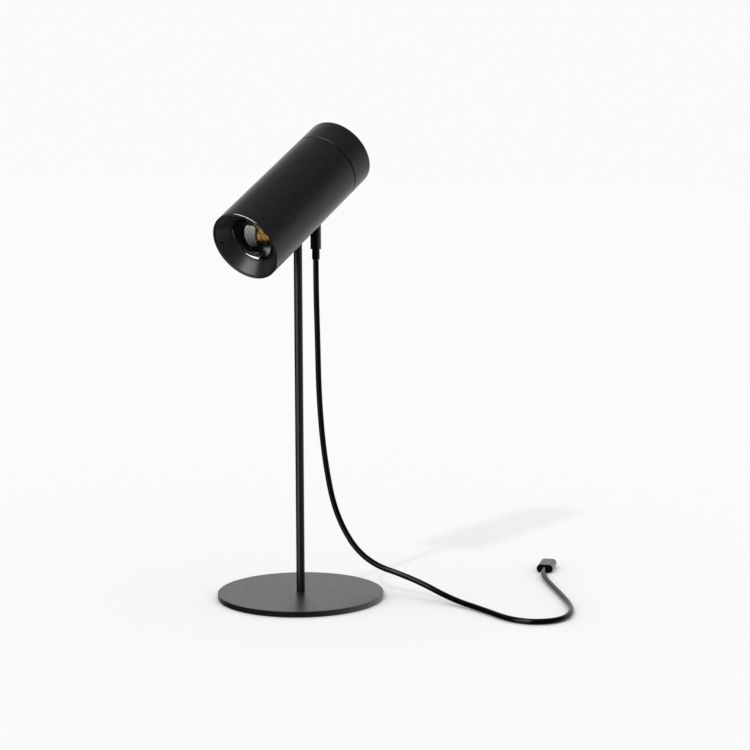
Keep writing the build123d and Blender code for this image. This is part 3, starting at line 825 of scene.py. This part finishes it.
def makeWorld(settings):
    # white where it is seen, with its own level as the light on matt surfaces
    world = bpy.data.worlds.new("studio")
    world.use_nodes = True
    tree = world.node_tree
    tree.nodes.clear()
    path = addNode(tree, "LightPath")
    seen = addMath(tree, "MAXIMUM", path.outputs["Is Camera Ray"], path.outputs["Is Glossy Ray"])
    seen = addMath(tree, "MAXIMUM", seen, path.outputs["Is Transmission Ray"])
    fill = addNode(tree, "Background", Color=(1, 1, 1), Strength=settings["worldLevel"])
    white = addNode(tree, "Background", Color=settings["white"], Strength=1.0)
    mix = addNode(tree, "MixShader")
    out = addNode(tree, "OutputWorld")
    tree.links.new(seen, mix.inputs[0])
    tree.links.new(fill.outputs[0], mix.inputs[1])
    tree.links.new(white.outputs[0], mix.inputs[2])
    tree.links.new(mix.outputs[0], out.inputs["Surface"])
    bpy.context.scene.world = world


def makeFloor(settings):
    half = settings["floorSize"] / 2
    corners = [(-half, -half, 0), (half, -half, 0), (half, half, 0), (-half, half, 0)]
    mesh = bpy.data.meshes.new("floor")
    mesh.from_pydata(corners, [], [(0, 1, 2, 3)])
    matt = {"Roughness": 1.0, "Specular_IOR_Level": 0}
    mesh.materials.append(startMaterial("floor_paper", Base_Color=settings["floorColour"], **matt)[0])
    floor = bpy.data.objects.new("floor", mesh)
    bpy.context.collection.objects.link(floor)
    floor.visible_glossy = False


def makeKey(settings):
    travel = Vector(settings["keyTravel"])
    data = bpy.data.lights.new("key", "SUN")
    data.energy = settings["keyStrength"]
    data.angle = math.radians(settings["keyAngle"])
    key = bpy.data.objects.new("key", data)
    key.rotation_mode = "QUATERNION"
    key.rotation_quaternion = travel.to_track_quat("-Z", "Y")
    key.location = -travel.normalized() * settings["keyDistance"]
    bpy.context.collection.objects.link(key)


# the dim room and its soft boxes, which only reflections show; bearings are in degrees, 0 toward
# the camera and 90 to its right, and each box's level runs from its bottom to its top
room = {
    "radius": 5.0,
    "subdivisions": 4,
    "middle": (0, 0, 0.16),
    "front": cameraSettings["rotation"][2],
    "shade": 0.03,
    "through": (0, 0, 0),  # nothing behind it shows
    "spared": (),
    "boxes": [
        {"bearing": 0, "width": 360, "bottom": 36, "top": 120, "soft": (5, 20), "level": (0.28, 0.28)},
        {"bearing": 100, "width": 80, "bottom": -90, "top": 3, "soft": (40, 9), "level": (0.85, 0.85)},
        {"bearing": 196, "width": 48, "bottom": -90, "top": 40, "soft": (14, 34), "level": (0.7, 0.45)},
        {"bearing": 152, "width": 108, "bottom": -90, "top": 31, "soft": (14, 9), "level": (0.956, 0.956)},
        {"bearing": 180, "width": 36, "bottom": 20, "top": 50, "soft": (8, 10), "level": (0.956, 0.956)},
    ],
}
softbox = {
    **room,
    "radius": 4.9,
    "shade": 0.0,
    "through": (1, 1, 1),  # the room shows behind it
    "spared": ("base_plate", "plug_overmould", "cable_socket", "strain_relief"),  # these it would whiten
    "boxes": [
        {
            "bearing": -45, "width": 52, "bottom": -66, "top": 80, "soft": (3, 4),
            "level": (0.0, 10.5), "curve": 1.3,
        },
    ],
}


def fade(tree, value, none, full):
    node = addNode(tree, "MapRange", {"interpolation_type": "SMOOTHSTEP"}, From_Min=none, From_Max=full)
    tree.links.new(value, node.inputs["Value"])
    return node.outputs["Result"]


def addBox(tree, direction, front, below, box):
    # lays one soft box over what is below it, and gives back the whole
    angle = math.radians(box["bearing"])
    toward = Vector((math.sin(front), -math.cos(front), 0))
    right = Vector((math.cos(front), math.sin(front), 0))
    ahead = toward * math.cos(angle) + right * math.sin(angle)
    across = right * math.cos(angle) - toward * math.sin(angle)
    shares = []
    for axis in (across, ahead, Vector((0, 0, 1))):
        dot = addNode(tree, "VectorMath", {"operation": "DOT_PRODUCT"})
        tree.links.new(direction, dot.inputs[0])
        dot.inputs[1].default_value = axis
        shares.append(dot.outputs["Value"])
    swing = addMath(tree, "ABSOLUTE", addMath(tree, "ARCTAN2", *shares[:2]))
    elevation = addMath(tree, "ARCSINE", shares[2])
    half, side, edge = (math.radians(value) for value in (box["width"] / 2, *box["soft"]))
    bottom, top = math.radians(box["bottom"]), math.radians(box["top"])
    mask = fade(tree, swing, half + side, half - side)
    mask = addMath(tree, "MULTIPLY", mask, fade(tree, elevation, bottom - edge, bottom + edge))
    mask = addMath(tree, "MULTIPLY", mask, fade(tree, elevation, top + edge, top - edge))
    height = spread(tree, elevation, 0, 1, (bottom, top))
    height = addMath(tree, "POWER", height, box.get("curve", 1))
    low, high = box["level"]
    light = addMath(tree, "ADD", addMath(tree, "MULTIPLY", height, high - low), low)
    change = addMath(tree, "MULTIPLY", mask, addMath(tree, "SUBTRACT", light, below))
    return addMath(tree, "ADD", below, change)


def makeRoomLight(name, settings):
    material = bpy.data.materials.new(name)
    material.use_nodes = True
    tree = material.node_tree
    tree.nodes.clear()
    direction = addNode(tree, "VectorMath", {"operation": "NORMALIZE"})
    tree.links.new(objectCoordinates(tree), direction.inputs[0])
    level = settings["shade"]
    for box in settings["boxes"]:
        level = addBox(tree, direction.outputs["Vector"], math.radians(settings["front"]), level, box)
    glow = addNode(tree, "Emission", Strength=level)
    through = addNode(tree, "BsdfTransparent", Color=settings["through"])
    both = addNode(tree, "AddShader")
    out = addNode(tree, "OutputMaterial")
    tree.links.new(glow.outputs[0], both.inputs[0])
    tree.links.new(through.outputs[0], both.inputs[1])
    tree.links.new(both.outputs[0], out.inputs["Surface"])
    return material


def spareNodes(shell, names):
    # light linking keeps the shell out of these nodes' reflections
    spared = bpy.data.collections.new(shell.name + "_spared")
    for name in names:
        spared.objects.link(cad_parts[name])
    for entry in spared.collection_objects:
        entry.light_linking.link_state = "EXCLUDE"
    shell.light_linking.receiver_collection = spared


def makeRoom(name, settings):
    mesh = bpy.data.meshes.new(name)
    shape = bmesh.new()
    bmesh.ops.create_icosphere(shape, subdivisions=settings["subdivisions"], radius=settings["radius"])
    shape.to_mesh(mesh)
    shape.free()
    mesh.materials.append(makeRoomLight(name + "_light", settings))
    shell = bpy.data.objects.new(name, mesh)
    shell.location = settings["middle"]
    bpy.context.collection.objects.link(shell)
    if settings["spared"]:
        spareNodes(shell, settings["spared"])
    shell.visible_camera = False
    shell.visible_diffuse = False
    shell.visible_shadow = False


makeWorld(studio)
makeFloor(studio)
makeKey(studio)
makeRoom("room", room)
makeRoom("softbox", softbox)
bpy.context.scene.view_settings.view_transform = "Standard"
print("studio ready")
